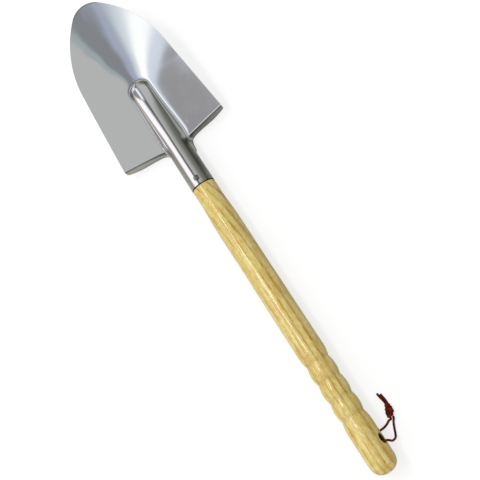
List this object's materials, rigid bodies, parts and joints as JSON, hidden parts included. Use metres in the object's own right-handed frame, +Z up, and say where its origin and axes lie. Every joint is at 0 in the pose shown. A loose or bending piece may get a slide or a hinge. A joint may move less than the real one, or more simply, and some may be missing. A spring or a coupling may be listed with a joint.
{
  "type": "long-handled trowel",
  "caption": "Garden trowel with a pointed pressed steel blade, a rolled socket, a long turned ash handle with finger grooves and a leather hanging thong.",
  "frame": {"origin": "on the surface the trowel lies on, under the middle of its length and width, the thong left out", "axes": "+Y along the handle to the blade's tip, +Z up out of the blade's hollow face, +X to the right"},
  "size_m": [0.13, 0.6018, 0.0502],
  "materials": {
    "polished_steel": "mirror polish",
    "lacquered_ash": "clear gloss lacquer",
    "nail_steel": "bright",
    "red_brown_leather": "dull"
  },
  "bodies": {
    "root": {"blade_head": "polished_steel", "handle": "lacquered_ash", "socket_nail": "nail_steel", "thong_strand_right": "red_brown_leather", "thong_strand_left": "red_brown_leather", "thong_knot": "red_brown_leather"}
  },
  "joints": []
}
